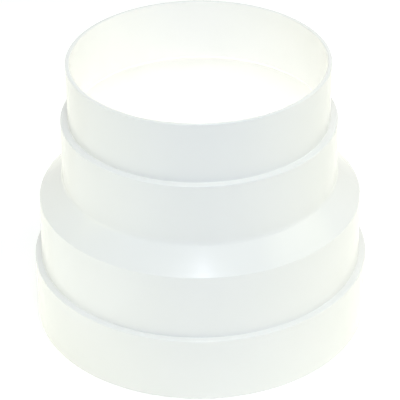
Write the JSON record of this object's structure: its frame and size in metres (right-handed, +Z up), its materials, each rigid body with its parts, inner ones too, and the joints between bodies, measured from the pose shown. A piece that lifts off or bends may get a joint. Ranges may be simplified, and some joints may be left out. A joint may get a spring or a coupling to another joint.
{
  "type": "duct reducer",
  "caption": "Round stepped plastic duct reducer: a plain spigot for a smaller duct, a neck, a conical shoulder and a barrel that ends in a socket for a larger duct.",
  "frame": {"origin": "centre of the socket's mouth, on the plane that the part stands on", "axes": "+Z up the duct's axis, from the socket towards the spigot; X and Y are any two directions across it"},
  "size_m": [0.1295, 0.1294, 0.1086],
  "materials": {
    "white_plastic": "smooth moulded white plastic with a soft gloss"
  },
  "bodies": {
    "root": {"reducer_body": "white_plastic"}
  },
  "joints": []
}
